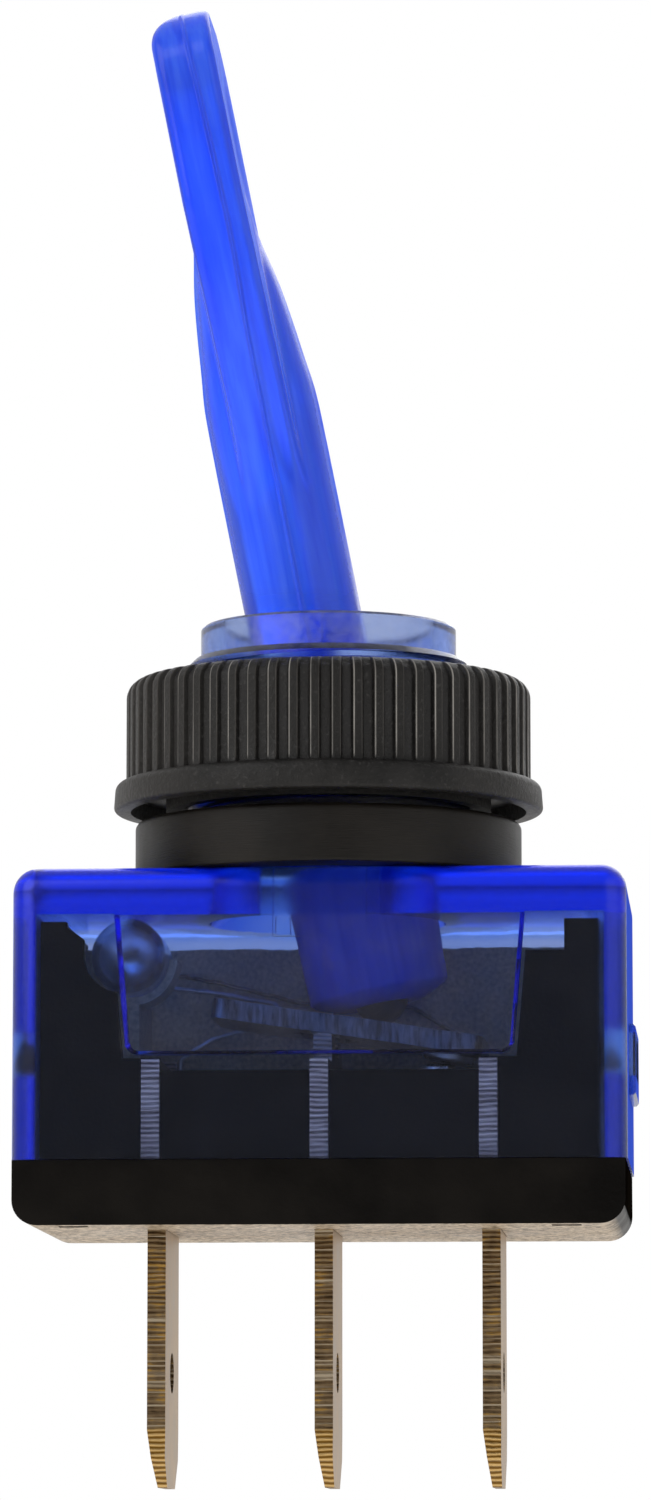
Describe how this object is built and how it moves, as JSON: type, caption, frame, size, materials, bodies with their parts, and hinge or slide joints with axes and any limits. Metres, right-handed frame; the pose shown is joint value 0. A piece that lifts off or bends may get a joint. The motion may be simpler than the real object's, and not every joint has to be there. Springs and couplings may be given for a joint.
{
  "type": "toggle switch",
  "caption": "Panel toggle switch with a see-through duckbill lever, threaded bushing with ring nut, lit cover window and push-on blades.",
  "frame": {"origin": "on the bushing's axis, at the collar's top face, where the panel seats", "axes": "+Z along the bushing, out of the panel; the lever swings along X and the blades stand in a row along X"},
  "size_m": [0.0276, 0.0192, 0.0669],
  "materials": {
    "cover_plastic": "glossy, see-through blue",
    "lever_plastic": "glossy, see-through blue",
    "base_plastic": "satin black",
    "nut_plastic": "satin black",
    "collar_plastic": "satin black",
    "terminal_brass": "sheared edges, pale rolled faces",
    "rocker_brass": "rolled strip",
    "contact_silver": "satin silver",
    "plunger_plastic": "natural acetal",
    "spring_steel": "drawn wire",
    "lamp_glass": "clear",
    "bead_glass": "clear, greenish",
    "filament_wire": "dull grey wire",
    "lead_wire": "tinned wire"
  },
  "bodies": {
    "switch_body": {"housing_cover": "cover_plastic", "base_body": "base_plastic", "spacer_collar": "collar_plastic", "supply_terminal": "terminal_brass", "load_terminal": "terminal_brass", "ground_terminal": "terminal_brass", "load_contact_button": "contact_silver", "lamp_glass": "lamp_glass", "lamp_bead": "bead_glass", "lamp_filament": "filament_wire", "lamp_lead_load": "lead_wire", "lamp_lead_ground": "lead_wire"},
    "toggle": {"toggle_lever": "lever_plastic", "plunger_spring": "spring_steel"},
    "plunger": {"contact_plunger": "plunger_plastic"},
    "rocker": {"rocker_contact": "rocker_brass", "moving_contact_button": "contact_silver"},
    "nut": {"retaining_nut": "nut_plastic"}
  },
  "joints": [
    {"name": "toggle_pivot", "type": "hinge", "parent": "switch_body", "child": "toggle", "pos_m": [0, 0, 0.00385], "axis": [0, 1, 0], "range_deg": [0, 22.6]},
    {"name": "rocker_pivot", "type": "hinge", "parent": "switch_body", "child": "rocker", "pos_m": [0, 0, -0.0097], "axis": [0, 1, 0], "range_deg": [-17.2, 0]},
    {"name": "plunger_travel", "type": "slide", "parent": "toggle", "child": "plunger", "axis": [-0.1959, 0, 0.9806], "range_m": [0, 0.0005], "stiffness_N_per_m": 300, "deforming": ["plunger_spring"]},
    {"name": "nut_travel", "type": "slide", "parent": "switch_body", "child": "nut", "axis": [0, 0, 1], "range_m": [-0.0005, 0.005]}
  ],
  "couplings": [
    {"joint": "rocker_pivot", "follows": "toggle_pivot", "ratio": -0.761}
  ]
}
